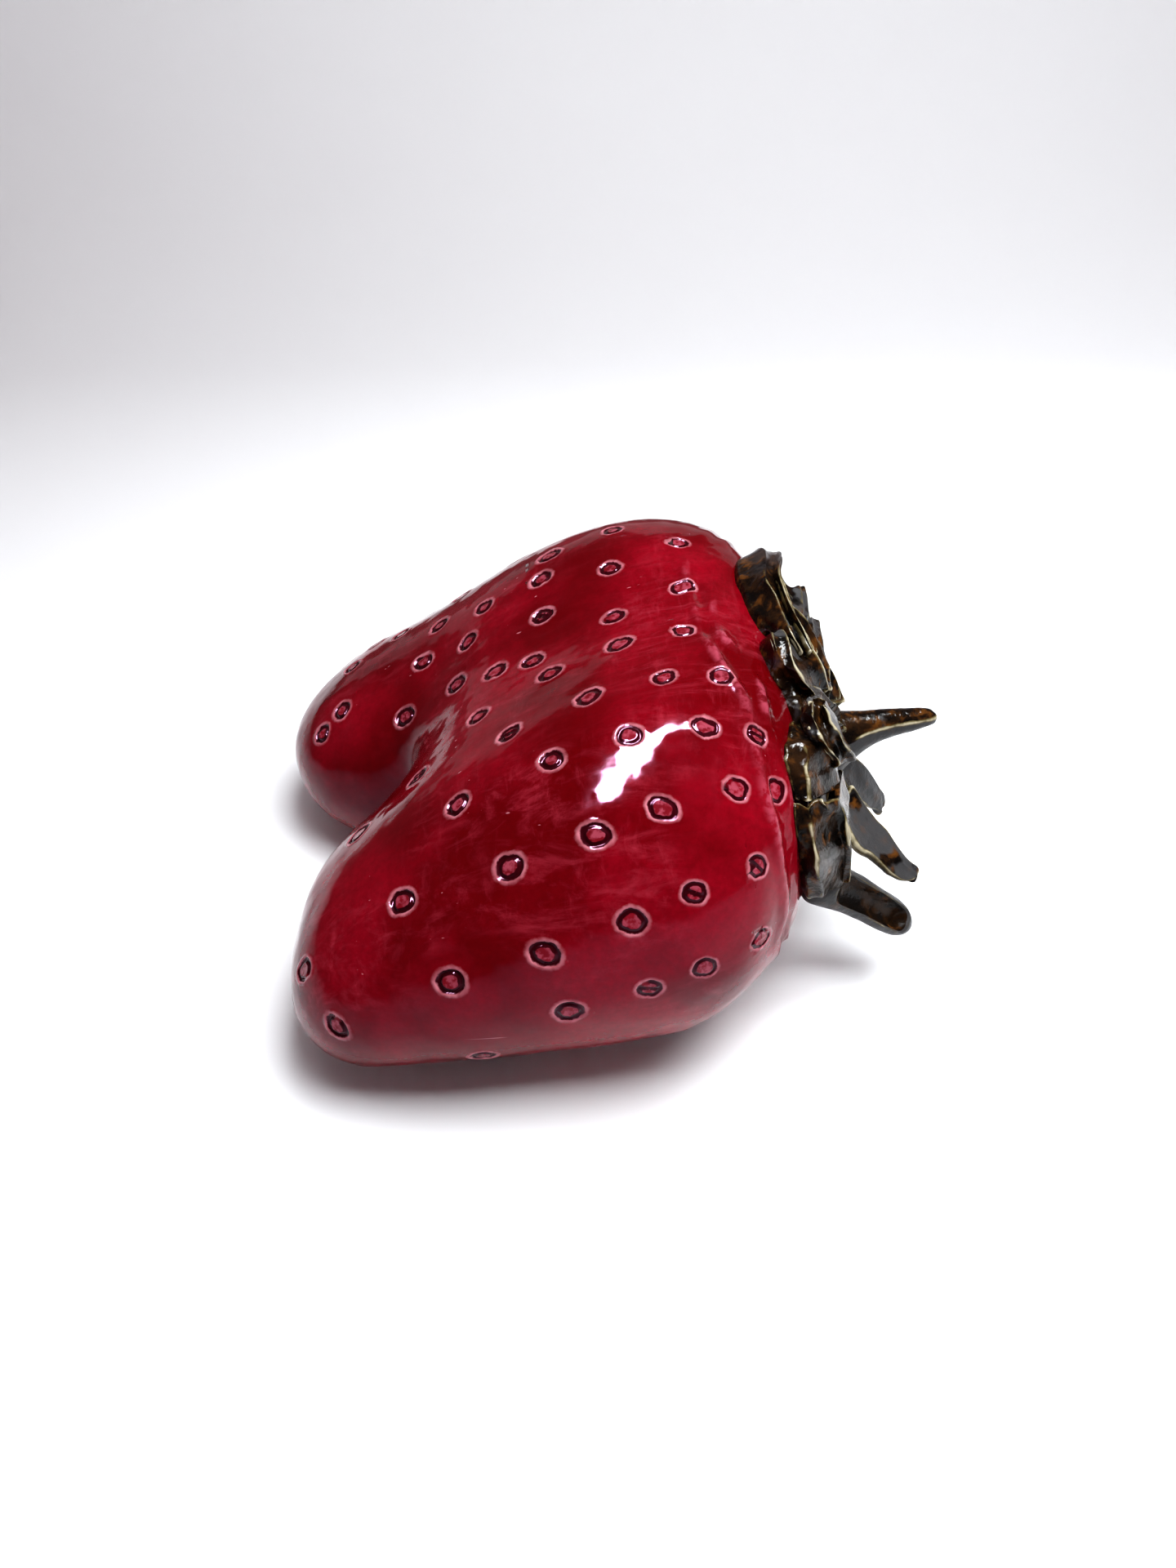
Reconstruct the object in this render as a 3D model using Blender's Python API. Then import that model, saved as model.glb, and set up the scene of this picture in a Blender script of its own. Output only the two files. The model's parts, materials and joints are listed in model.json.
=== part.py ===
"""Glazed ceramic strawberry ornament: a hollow twin-lobed berry lying on its flattened side,
with a rosette of thick clay sepals and a tapered stem at one end.

Dimensions are in millimetres and are scaled to metres as the meshes are made. +Z is up, +X runs
from the two tips to the stem, and Y runs across the two lobes: front is -Y and back is +Y. The
origin is on the flat underside.
"""

import math
from collections import namedtuple
from itertools import product

import bmesh
import bpy
from mathutils import Vector
from mathutils.bvhtree import BVHTree

MM = 0.001

# ---- the berry ----------------------------------------------------------------------------------

# Sections of the joined part, from the calyx end to the fork between the lobes. crown and keel are
# the heights of its top and bottom, and cleft is how far the middle of its top dips.
Section = namedtuple("Section", "x half_width crown keel cleft")
TRUNK = [
    Section(82, 34, 74, 34, 0),
    Section(76, 66, 109, 18, 2),
    Section(59, 100, 127, -2, 6),
    Section(30, 108, 130, -9, 14),
    Section(0, 108, 119, -9, 20),
    Section(-28, 109, 100, -8, 11),
    Section(-42, 106, 89, -8, 21),
]
CALYX_END = (83, 0, 54)
TRUNK_POINTS = 16
TRUNK_FULLNESS = 0.85

# Sections of each lobe past the fork. across is the distance of the lobe's middle from y = 0.
LobeSection = namedtuple("LobeSection", "x across half_width crown keel")
Tip = namedtuple("Tip", "x across z")
FRONT_LOBE = [LobeSection(-66, 55, 48, 64, -3), LobeSection(-81, 55, 33, 48, 6)]
FRONT_TIP = Tip(-90, 68, 26)
BACK_LOBE = [LobeSection(-67, 55, 48, 70, -3), LobeSection(-93, 55, 33, 52, 6)]
BACK_TIP = Tip(-112, 56, 31)
LOBE_FULLNESS = 0.9

# A lobe's ring has its outer points from this far over the top of the side that faces the fork to
# as far under it, and the crotch's points between them.
INNER_SIDE_DEG = 38
OUTER_STEPS = TRUNK_POINTS // 2
CROTCH_POINTS = 3
CROTCH_BULGE = 2

# The back of the trunk's top stands a little higher than the front.
BACK_RISE = 5.6
RISE_START_Z = 50
RISE_POINTS = 3

# The clay wall, and the vent under the berry that lets air out in the kiln.
WALL = 8
FLOOR = 9
VENT_X = 34
VENT_RADIUS = 4
VENT_SIDES = 24
VENT_ENDS = (-5, 2 * FLOOR)
BODY_LEVELS = 2
CAVITY_LEVELS = 1

# The block that cuts the berry off flat at the table, from corner to corner.
TABLE_BLOCK = ((-150, -150, -60), (150, 150, 0))

# ---- the calyx ----------------------------------------------------------------------------------

# The sepals are drawn on a map wrapped over the calyx end, as it is seen from the berry's heart.
# A place on the map is a distance from the stem's axis and a bearing: 0 is up, 90 is to the back.
HEART = Vector((30, 0, 58))
STEM_SLOPE_DEG = 10
MAP_RADIUS = 60
OUTSIDE = 200

# A low pad of clay beds the sepals: its height over the berry falls off towards its rim.
PAD_RADIUS = 46
PAD_CROWN = 5.4
PAD_RIM = 1
PAD_RINGS = 5
PAD_SIDES = 32
PAD_GAP = 0.8

# Each sepal has its name, how far its edges turn up (down, if negative), how much its back edge
# stands over its front edge, and stations down its middle from root to tip. A station is a
# distance from the stem's axis, a bearing, a half width, and the height of the slab's middle
# over the berry.
SEPAL_THICKNESS = 4.4
SEPAL_COLUMNS = (-1, -0.5, 0, 0.5, 1)
SEPAL_LEVELS = 1
RIB = 0.7
Sepal = namedtuple("Sepal", "name curl lean stations")
SEPALS = [
    Sepal("sepal_top_edge", 0, 3, [
        (47, -2, 6, 6), (47.5, 5, 8, 6.4), (48.5, 15, 9.4, 6.6), (49.5, 25, 9.4, 7),
        (51, 35, 8.5, 7.4), (51.5, 42, 5, 8)]),
    Sepal("sepal_top_back", 0.5, 0, [
        (15, 14, 4.4, 9.4), (22, 14, 7.5, 8.8), (29, 14, 9, 8.2), (34, 14, 7, 7.8), (36.5, 14, 4, 7.6)]),
    Sepal("sepal_top_front", 1, 0, [
        (15, -32, 3.8, 9.4), (28, -33, 5.6, 8), (40, -34, 7, 6), (49, -34, 6.6, 4.2), (54, -34, 3.5, 3.6)]),
    Sepal("sepal_front_upper", 1, 0, [
        (15, -66, 4.4, 9.4), (28, -67, 8, 9), (39, -66, 11, 8), (51, -60, 12, 5.6),
        (60, -58, 10.5, 3.6), (65, -58, 5, 3.4)]),
    Sepal("sepal_front_lower", 1, 0, [
        (15, -101, 3.6, 9.8), (28, -99, 6.5, 11), (39, -96, 10, 12), (49, -90, 11.5, 9),
        (57, -87, 12.5, 4.6), (61, -86, 8, 3.6)]),
    Sepal("sepal_under_front", 1, 0, [
        (15, -148, 4, 9.4), (27, -150, 8, 8), (37, -151, 9, 6), (45, -151, 6.5, 4), (49, -151, 3, 3.6)]),
    Sepal("sepal_under_back", 1, 0, [
        (15, 150, 4, 9.4), (27, 150, 8, 8), (37, 150, 9, 6), (46, 150, 6.5, 4), (50, 150, 3, 3.6)]),
    Sepal("sepal_back_lower", 1, 0, [
        (15, 106, 4.4, 9.4), (28, 108, 10.5, 8), (41, 109, 14, 6), (52, 110, 11.5, 4), (58, 111, 5, 3.6)]),
    Sepal("sepal_back_upper", 1, 0, [
        (15, 61, 4.4, 9.4), (28, 61, 9, 8), (41, 63, 14, 6), (54, 65, 13, 4), (61, 66, 6, 3.6)]),
    Sepal("sepal_second_middle", -1.8, 0, [
        (15, -10, 4, 15), (28, -12, 7, 13.8), (40, -13, 7.6, 10.4), (49, -14, 7, 5.6), (53, -14, 3.5, 4.6)]),
    Sepal("sepal_second_front", 0.6, 0, [
        (15, -60, 5, 15.6), (25, -58, 8, 15), (35, -54, 8, 14), (44, -49, 6, 12), (50, -47, 3, 10)]),
    Sepal("sepal_second_top", 0.6, 3, [
        (15, 34, 4.5, 15), (25, 36, 8, 14.2), (34, 39, 9.5, 14), (40, 41, 8, 15), (44, 41, 4, 15.6)]),
    Sepal("sepal_second_back", 0.6, 0, [
        (15, 86, 5, 14.8), (27, 86, 9, 13.4), (38, 86, 10, 11.6), (46, 86, 6.5, 10.4), (50, 86, 3, 10)]),
    Sepal("sepal_third_top", 0.6, 1, [
        (14, 44, 4.5, 21), (21, 44, 6.5, 20.8), (28, 45, 7, 20.4), (34, 46, 3.5, 20.2)]),
    Sepal("sepal_splayed_rolled", 2, 0, [
        (43, -112, 7, 10), (43, -117, 7, 16), (42.5, -124, 6.4, 23), (42, -133, 5.4, 32),
        (41.5, -140, 4, 39), (41.5, -143, 2.2, 41)]),
    Sepal("sepal_splayed_long", 0.5, -4.5, [
        (16, -96, 3.6, 17.5), (21, -107, 6.5, 21.5), (27, -118, 8, 29), (32, -127, 6.5, 37),
        (34.5, -131, 3, 41)]),
    Sepal("sepal_splayed_small", 0.5, 0, [
        (15, 168, 3.4, 15), (19, 166, 5, 23), (25, 165, 5, 32), (29.5, 165, 2.6, 39)]),
]

# The stem is turned: each station is a height over the berry, a radius and a rise off the axis.
STEM_STATIONS = [
    (7.8, 11, -1), (13, 11, -1.5), (18, 10.4, -2), (22, 8, -0.8), (27, 6.2, 0.5), (34, 4.9, 1.5),
    (41, 3.9, 2.2), (45.5, 3.3, 2.6), (47, 1.8, 2.8),
]
STEM_SIDES = 16

COLOURS = {
    "red_glaze": (0.30, 0.004, 0.012),
    "brown_glaze": (0.016, 0.011, 0.006),
}


def clear_scene():
    for thing in list(bpy.data.objects):
        bpy.data.objects.remove(thing, do_unlink=True)


def glaze(name):
    """A glossy fired glaze."""
    material = bpy.data.materials.get(name) or bpy.data.materials.new(name)
    material.use_nodes = True
    surface = material.node_tree.nodes["Principled BSDF"]
    surface.inputs["Base Color"].default_value = (*COLOURS[name], 1)
    surface.inputs["Roughness"].default_value = 0.12
    surface.inputs["Metallic"].default_value = 0
    return material


def add_object(name, vertices, faces, material=None):
    """An object in the scene from vertices in millimetres, with its faces pointing out."""
    mesh = bpy.data.meshes.new(name)
    mesh.from_pydata([Vector(v) * MM for v in vertices], [], faces)
    shape = bmesh.new()
    shape.from_mesh(mesh)
    bmesh.ops.recalc_face_normals(shape, faces=shape.faces)
    shape.to_mesh(mesh)
    shape.free()
    mesh.shade_smooth()
    if material:
        mesh.materials.append(material)
    thing = bpy.data.objects.new(name, mesh)
    bpy.context.scene.collection.objects.link(thing)
    return thing


def subdivide(thing, levels):
    smooth = thing.modifiers.new("Smooth", "SUBSURF")
    smooth.levels = levels
    smooth.render_levels = levels


def cut(thing, cutter):
    """Cut the cutter's shape out of thing."""
    cutter.hide_render = True
    cutter.display_type = "WIRE"
    difference = thing.modifiers.new("Cut " + cutter.name, "BOOLEAN")
    difference.operation = "DIFFERENCE"
    difference.solver = "EXACT"
    difference.object = cutter


def rounded(value, fullness):
    """A sine or cosine, filled out towards a box as fullness falls below 1."""
    return math.copysign(abs(value) ** fullness, value)


def trunk_ring(section):
    """Points round one section: the middle of the top, down the front, and up the back."""
    middle = (section.crown + section.keel) / 2
    half_height = (section.crown - section.keel) / 2
    points = []
    for i in range(TRUNK_POINTS):
        turn = 2 * math.pi * i / TRUNK_POINTS
        y = -section.half_width * rounded(math.sin(turn), TRUNK_FULLNESS)
        z = middle + half_height * rounded(math.cos(turn), TRUNK_FULLNESS)
        if i > TRUNK_POINTS // 2 and z > RISE_START_Z:
            share = min(1, (TRUNK_POINTS - i) / RISE_POINTS)
            z += BACK_RISE * share * (z - RISE_START_Z) / RISE_START_Z
        points.append(Vector((section.x, y, z)))
    points[0].z -= section.cleft
    return points


def lobe_ring(section, side):
    """Points round one lobe: over its outer side first, and back up the side that faces the fork."""
    outer_step = (180 + 2 * INNER_SIDE_DEG) / OUTER_STEPS
    outer = [k * outer_step - INNER_SIDE_DEG for k in range(OUTER_STEPS + 1)]
    inner_step = (180 - 2 * INNER_SIDE_DEG) / (CROTCH_POINTS + 1)
    inner = [180 + INNER_SIDE_DEG + k * inner_step for k in range(1, CROTCH_POINTS + 1)]
    middle = (section.crown + section.keel) / 2
    half_height = (section.crown - section.keel) / 2
    points = []
    for degrees in outer + inner:
        turn = math.radians(degrees)
        y = section.across + section.half_width * rounded(math.sin(turn), LOBE_FULLNESS)
        z = middle + half_height * rounded(math.cos(turn), LOBE_FULLNESS)
        points.append(Vector((section.x, side * y, z)))
    return points


def bridge(faces, ring, following):
    count = len(ring)
    for i in range(count):
        after = (i + 1) % count
        faces.append((ring[i], ring[after], following[after], following[i]))


def close_with_point(faces, ring, point):
    count = len(ring)
    for i in range(0, count, 2):
        faces.append((point, ring[i], ring[(i + 1) % count], ring[(i + 2) % count]))


def berry_cage():
    """The coarse cage of the whole berry: a trunk of rings that forks into two legs."""
    vertices = []
    faces = []

    def add(points):
        start = len(vertices)
        vertices.extend(points)
        return list(range(start, len(vertices)))

    rings = [add(trunk_ring(section)) for section in TRUNK]
    close_with_point(faces, rings[0], add([Vector(CALYX_END)])[0])
    for ring, following in zip(rings, rings[1:]):
        bridge(faces, ring, following)

    fork = rings[-1]
    half = TRUNK_POINTS // 2
    top = vertices[fork[0]]
    bottom = vertices[fork[half]]
    shares = [(k + 1) / (CROTCH_POINTS + 1) for k in range(CROTCH_POINTS)]
    crotch = add([bottom.lerp(top, share) + Vector((CROTCH_BULGE, 0, 0)) for share in shares])

    front_leg = [fork[i] for i in range(half + 1)]
    back_leg = [fork[-i] for i in range(half + 1)]
    legs = [(front_leg, FRONT_LOBE, FRONT_TIP, -1), (back_leg, BACK_LOBE, BACK_TIP, 1)]
    for leg, sections, tip, side in legs:
        ring = leg + crotch
        for section in sections:
            following = add(lobe_ring(section, side))
            bridge(faces, ring, following)
            ring = following
        end = add([Vector((tip.x, side * tip.across, tip.z))])[0]
        close_with_point(faces, ring, end)
    return vertices, faces


def shrunk(vertices, faces, distance):
    """The cage's vertices moved inwards, square to the surface, and kept above the floor."""
    shape = bmesh.new()
    for vertex in vertices:
        shape.verts.new(vertex)
    shape.verts.ensure_lookup_table()
    for face in faces:
        shape.faces.new([shape.verts[i] for i in face])
    bmesh.ops.recalc_face_normals(shape, faces=shape.faces)
    shape.normal_update()
    moved = [vertex.co - vertex.normal * distance for vertex in shape.verts]
    shape.free()
    return [Vector((v.x, v.y, max(v.z, FLOOR))) for v in moved]


def box(name, low, high):
    corners = list(product(*zip(low, high)))
    faces = [(0, 1, 3, 2), (4, 6, 7, 5), (0, 4, 5, 1), (2, 3, 7, 6), (0, 2, 6, 4), (1, 5, 7, 3)]
    return add_object(name, corners, faces)


def lofted(name, rings, material=None):
    """A solid through rings of points, with its two ends closed flat."""
    sides = len(rings[0])
    vertices = [point for ring in rings for point in ring]
    indices = [list(range(k * sides, (k + 1) * sides)) for k in range(len(rings))]
    faces = [tuple(indices[0]), tuple(reversed(indices[-1]))]
    for ring, following in zip(indices, indices[1:]):
        bridge(faces, ring, following)
    return add_object(name, vertices, faces, material)


def turns(sides):
    return [2 * math.pi * i / sides for i in range(sides)]


def make_berry():
    vertices, faces = berry_cage()
    berry = add_object("fruit_body", vertices, faces, glaze("red_glaze"))
    subdivide(berry, BODY_LEVELS)
    cut(berry, box("table_cutter", *TABLE_BLOCK))
    cavity = add_object("cavity_cutter", shrunk(vertices, faces, WALL), faces)
    subdivide(cavity, CAVITY_LEVELS)
    cut(berry, cavity)

    vent = []
    for z in VENT_ENDS:
        vent.append([
            Vector((VENT_X + VENT_RADIUS * math.cos(a), VENT_RADIUS * math.sin(a), z))
            for a in turns(VENT_SIDES)
        ])
    cut(berry, lofted("vent_cutter", vent))
    return berry


def place_on_map(distance, bearing_deg):
    """How far a place on the map is up and how far it is back from the stem's axis."""
    bearing = math.radians(bearing_deg)
    return Vector((distance * math.cos(bearing), distance * math.sin(bearing)))


class CalyxMap:
    """Turns a place on the calyx map into a point over the berry."""

    def __init__(self, berry):
        graph = bpy.context.evaluated_depsgraph_get()
        self.surface = BVHTree.FromObject(berry, graph)
        slope = math.radians(STEM_SLOPE_DEG)
        self.axis = Vector((math.cos(slope), 0, math.sin(slope)))
        self.up = Vector((-math.sin(slope), 0, math.cos(slope)))
        self.back = Vector((0, 1, 0))

    def point(self, along_up, along_back, height):
        """The point at this place on the map, height millimetres over the berry's skin."""
        distance = math.hypot(along_up, along_back)
        swing = distance / MAP_RADIUS
        outward = self.axis * math.cos(swing)
        if distance:
            sideways = (self.up * along_up + self.back * along_back) / distance
            outward += sideways * math.sin(swing)
        start = (HEART + outward * OUTSIDE) * MM
        skin = self.surface.ray_cast(start, -outward)[0] / MM
        return skin + outward * height

    def polar(self, distance, bearing_deg, height):
        return self.point(*place_on_map(distance, bearing_deg), height)


def make_pad(calyx):
    """The pad: its top is a dome over the berry, and its underside follows the berry's skin."""
    profile = [(PAD_RADIUS * k / PAD_RINGS, PAD_GAP) for k in range(1, PAD_RINGS + 1)]
    for k in range(PAD_RINGS, 0, -1):
        share = k / PAD_RINGS
        profile.append((PAD_RADIUS * share, PAD_GAP + PAD_RIM + PAD_CROWN * (1 - share * share)))
    rings = [
        [calyx.polar(distance, math.degrees(a), height) for a in turns(PAD_SIDES)]
        for distance, height in profile
    ]
    return lofted("calyx_pad", rings, glaze("brown_glaze"))


def make_sepal(sepal, calyx):
    """A slab of clay: its middle surface is a grid of points on the map, and Solidify thickens it."""
    middles = [place_on_map(station[0], station[1]) for station in sepal.stations]
    columns = len(SEPAL_COLUMNS)
    last = len(middles) - 1
    vertices = []
    for i, station in enumerate(sepal.stations):
        half_width, height = station[2:]
        heading = (middles[min(i + 1, last)] - middles[max(i - 1, 0)]).normalized()
        across = Vector((-heading.y, heading.x))
        share = i / last
        for side in SEPAL_COLUMNS:
            place = middles[i] + across * side * half_width
            bend = share * (sepal.curl * side * side + sepal.lean * side)
            rib = RIB if side == 0 else 0
            vertices.append(calyx.point(place.x, place.y, height + bend + rib))
    faces = []
    for i in range(last):
        for k in range(columns - 1):
            a = i * columns + k
            faces.append((a, a + 1, a + columns + 1, a + columns))
    slab = add_object(sepal.name, vertices, faces, glaze("brown_glaze"))
    thicken = slab.modifiers.new("Thicken", "SOLIDIFY")
    thicken.thickness = SEPAL_THICKNESS * MM
    thicken.offset = 0
    thicken.use_even_offset = True
    subdivide(slab, SEPAL_LEVELS)
    return slab


def make_stem(calyx):
    foot = calyx.point(0, 0, 0)
    rings = []
    for height, radius, rise in STEM_STATIONS:
        centre = foot + calyx.axis * height + calyx.up * rise
        rings.append([
            centre + (calyx.up * math.cos(a) + calyx.back * math.sin(a)) * radius
            for a in turns(STEM_SIDES)
        ])
    return lofted("stem", rings, glaze("brown_glaze"))


def main():
    clear_scene()
    berry = make_berry()
    calyx = CalyxMap(berry)
    make_pad(calyx)
    for sepal in SEPALS:
        make_sepal(sepal, calyx)
    make_stem(calyx)


main()
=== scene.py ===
# %% [markdown]
# # A glazed ceramic strawberry
#
# This lesson finishes a hand-built ceramic ornament: a strawberry with two lobes under a glossy red
# glaze, with seeds carved as rings, and a calyx of torn clay plates under a dark brown glaze. The
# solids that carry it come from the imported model. Here they get the surface that a potter's hands
# and the kiln gave the real one.

import json
import math
import random

import bmesh
import bpy
import numpy as np
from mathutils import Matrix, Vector, noise
from mathutils.bvhtree import BVHTree
from mathutils.kdtree import KDTree

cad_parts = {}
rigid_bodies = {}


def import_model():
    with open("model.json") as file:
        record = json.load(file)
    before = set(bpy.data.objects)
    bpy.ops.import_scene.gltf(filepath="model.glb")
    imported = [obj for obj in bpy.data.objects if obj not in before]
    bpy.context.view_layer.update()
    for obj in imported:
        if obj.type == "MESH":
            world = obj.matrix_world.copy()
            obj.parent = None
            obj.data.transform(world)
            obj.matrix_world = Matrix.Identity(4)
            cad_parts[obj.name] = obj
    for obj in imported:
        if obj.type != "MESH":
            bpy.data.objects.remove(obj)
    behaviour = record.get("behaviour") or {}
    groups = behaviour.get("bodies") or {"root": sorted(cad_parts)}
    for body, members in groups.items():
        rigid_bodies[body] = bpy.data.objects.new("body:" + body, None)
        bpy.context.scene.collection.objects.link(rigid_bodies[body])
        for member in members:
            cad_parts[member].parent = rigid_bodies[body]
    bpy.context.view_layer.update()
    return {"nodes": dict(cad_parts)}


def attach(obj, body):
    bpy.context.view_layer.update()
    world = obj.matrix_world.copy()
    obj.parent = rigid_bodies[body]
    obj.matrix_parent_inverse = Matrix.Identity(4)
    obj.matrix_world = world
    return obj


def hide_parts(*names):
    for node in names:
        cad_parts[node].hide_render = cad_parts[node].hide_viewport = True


for leftover in list(bpy.data.objects):
    bpy.data.objects.remove(leftover, do_unlink=True)

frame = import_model()
MM = 0.001


# %% [markdown]
# ## Small tools
#
# Operators act on whatever is selected, so each step first selects exactly what it means. These
# helpers keep that in one place. Points are handled in millimetres, as rows of one array, so that
# one line can push a whole skin about. Noise is read from fixed places: every run gives one clay.

# %% Selecting, copying and moving points


def select_only(thing):
    if bpy.context.mode != "OBJECT":
        bpy.ops.object.mode_set(mode="OBJECT")
    bpy.ops.object.select_all(action="DESELECT")
    thing.select_set(True)
    bpy.context.view_layer.objects.active = thing


def leave_edit():
    bpy.ops.object.mode_set(mode="OBJECT")


def edit_all(thing):
    """Into edit mode, with the whole of one thing selected."""
    select_only(thing)
    bpy.ops.object.mode_set(mode="EDIT")
    bpy.ops.mesh.select_all(action="SELECT")


def select_where(parts, wanted):
    """In edit mode, select only those of the mesh's faces or edges that are wanted."""
    bpy.ops.mesh.select_all(action="DESELECT")
    mesh = bpy.context.object.data
    for part in getattr(bmesh.from_edit_mesh(mesh), parts):
        if wanted(part):
            part.select_set(True)
    bmesh.update_edit_mesh(mesh)


def pair_triangles():
    """Join the selected triangles into four-sided faces, where the two lie nearly flat."""
    bend, skew = math.radians(40), math.radians(60)
    bpy.ops.mesh.tris_convert_to_quads(face_threshold=bend, shape_threshold=skew)


def add_object(name, data):
    thing = bpy.data.objects.new(name, data)
    bpy.context.scene.collection.objects.link(thing)
    return thing


def apply_modifiers(thing):
    select_only(thing)
    for modifier in list(thing.modifiers):
        bpy.ops.object.modifier_apply(modifier=modifier.name)


def subdivide(thing, levels):
    smooth = thing.modifiers.new("Smooth", "SUBSURF")
    smooth.levels = levels
    smooth.render_levels = levels
    apply_modifiers(thing)


def merged_copy(node, name):
    """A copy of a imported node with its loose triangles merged, at the origin."""
    thing = add_object(name, frame["nodes"][node].data.copy())
    thing.data.materials.clear()
    edit_all(thing)
    bpy.ops.mesh.remove_doubles(threshold=0.01 * MM)
    leave_edit()
    return thing


def points_of(thing):
    places = np.empty(len(thing.data.vertices) * 3)
    thing.data.vertices.foreach_get("co", places)
    return places.reshape(-1, 3) / MM


def normals_of(thing):
    directions = np.empty(len(thing.data.vertices) * 3)
    thing.data.vertices.foreach_get("normal", directions)
    return directions.reshape(-1, 3)


def set_points(thing, places):
    thing.data.vertices.foreach_set("co", (places * MM).ravel())
    thing.data.update()


def store(thing, name, values):
    """Keep one number for each point, for the glaze to read."""
    layer = thing.data.attributes.new(name, "FLOAT", "POINT")
    layer.data.foreach_set("value", np.asarray(values, dtype=np.float32))


def waviness(places, size, seed):
    """Smooth noise between -1 and 1, with bumps about size millimetres apart."""
    shift = Vector((seed, 2 * seed, 3 * seed))
    return np.array([noise.noise(Vector(place) / size + shift) for place in places])


def smooth_step(values, low, high):
    share = np.clip((values - low) / (high - low), 0, 1)
    return share * share * (3 - 2 * share)


print("packed berry points:", len(frame["nodes"]["fruit_body"].data.vertices))

# %% [markdown]
# ## The camera
#
# The ornament is looked down on from the front, from arm's length, with a slightly wide lens. The
# lens is fixed to the height of the picture, so that its width doesn't change the view.

# %% Place the camera
CAMERA_PLACE = Vector((0.0010, -0.3382, 0.3133))
CAMERA_LOOK = Vector((0.022, 0.789, -0.614))
LONG_SIDE_MM = 36
LENS_MM = 28.125

camera_data = bpy.data.cameras.new("camera")
camera_data.sensor_fit = "VERTICAL"
camera_data.sensor_height = LONG_SIDE_MM
camera_data.lens = LENS_MM
camera_data.clip_start = 0.01
camera = add_object("camera", camera_data)
camera.location = CAMERA_PLACE
camera.rotation_euler = CAMERA_LOOK.to_track_quat("-Z", "Y").to_euler()
bpy.context.scene.camera = camera
print("camera", [round(v, 3) for v in camera.location])

# %% [markdown]
# ## The paper
#
# White paper covers the table and curves up into walls, so that there is no corner to see. It could
# be one sheet, but a glossy glaze mirrors everything round it, and too many bright things make a
# deep red milky. So the sheet under the berry is a piece of its own, which the glaze mirrors, and
# the wide rest of the paper is only seen and lit.

# %% Lay the paper
PAPER_LEFT_FRONT = (-1.6, -1.7)
PAPER_RIGHT_BACK = (1.6, 0.97)
MIRRORED_LEFT_FRONT = (-1.25, -1.35)
MIRRORED_RIGHT_BACK = (1.25, 0.55)
FIRST_INSET = 0.5
PAPER_CURVE = 0.33
PAPER_HEIGHT = 1.7
PAPER_WHITE = (0.86, 0.865, 0.87, 1)
CLOSE = 0.01

bpy.ops.mesh.primitive_plane_add(size=1, location=(0, 0, 0))
paper_walls = bpy.context.object
paper_walls.name = "paper_walls"
for vertex in paper_walls.data.vertices:
    vertex.co.x = PAPER_LEFT_FRONT[0] if vertex.co.x < 0 else PAPER_RIGHT_BACK[0]
    vertex.co.y = PAPER_LEFT_FRONT[1] if vertex.co.y < 0 else PAPER_RIGHT_BACK[1]
edit_all(paper_walls)
bpy.ops.mesh.inset(thickness=FIRST_INSET, depth=0)
shape = bmesh.from_edit_mesh(paper_walls.data)
for vertex in (vertex for vertex in shape.verts if vertex.select):
    vertex.co.x = MIRRORED_LEFT_FRONT[0] if vertex.co.x < 0 else MIRRORED_RIGHT_BACK[0]
    vertex.co.y = MIRRORED_LEFT_FRONT[1] if vertex.co.y < -0.3 else MIRRORED_RIGHT_BACK[1]
bpy.ops.mesh.separate(type="SELECTED")


def at_rim(edge):
    middle = (edge.verts[0].co + edge.verts[1].co) / 2
    at_end = middle.y > PAPER_RIGHT_BACK[1] - CLOSE or middle.y < PAPER_LEFT_FRONT[1] + CLOSE
    return at_end or abs(middle.x) > PAPER_RIGHT_BACK[0] - CLOSE


select_where("edges", at_rim)
bpy.ops.mesh.extrude_region_move(TRANSFORM_OT_translate={"value": (0, 0, PAPER_HEIGHT)})
leave_edit()
paper_sheet = [piece for piece in bpy.context.selected_objects if piece != paper_walls][0]
paper_sheet.name = "paper_sheet"
rounding = paper_walls.modifiers.new("Round", "BEVEL")
rounding.width = PAPER_CURVE
rounding.segments = 16
rounding.limit_method = "ANGLE"
apply_modifiers(paper_walls)
select_only(paper_walls)
bpy.ops.object.shade_smooth()
paper_walls.visible_glossy = False
print("paper faces:", len(paper_walls.data.polygons), len(paper_sheet.data.polygons))

white_paper = bpy.data.materials.new("white_paper")
white_paper.use_nodes = True
white_surface = white_paper.node_tree.nodes["Principled BSDF"]
white_surface.inputs["Base Color"].default_value = PAPER_WHITE
white_surface.inputs["Roughness"].default_value = 0.75
white_surface.inputs["Specular IOR Level"].default_value = 0.2
for sheet in (paper_walls, paper_sheet):
    sheet.data.materials.append(white_paper)

# %% [markdown]
# ## The lamps
#
# A wide soft lamp overhead lights the paper until it is nearly burnt out and leaves only a short
# shadow under the berry. It isn't mirrored. What the glaze mirrors is one strip of light, for the
# long glints on the lobes, and a faint band far behind, for the sheen along their upper edge. One
# lamp could do both, but then glints and shadows couldn't be set apart. The little light that comes
# from all round is pink, as if thrown back by the berry, and tints the shadows.

# %% Hang the lamps
LAMP_COLOUR = (0.93, 0.975, 1.0)
ROOM_PINK = (1.0, 0.60, 0.66, 1)
ROOM_STRENGTH = 0.15


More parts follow.
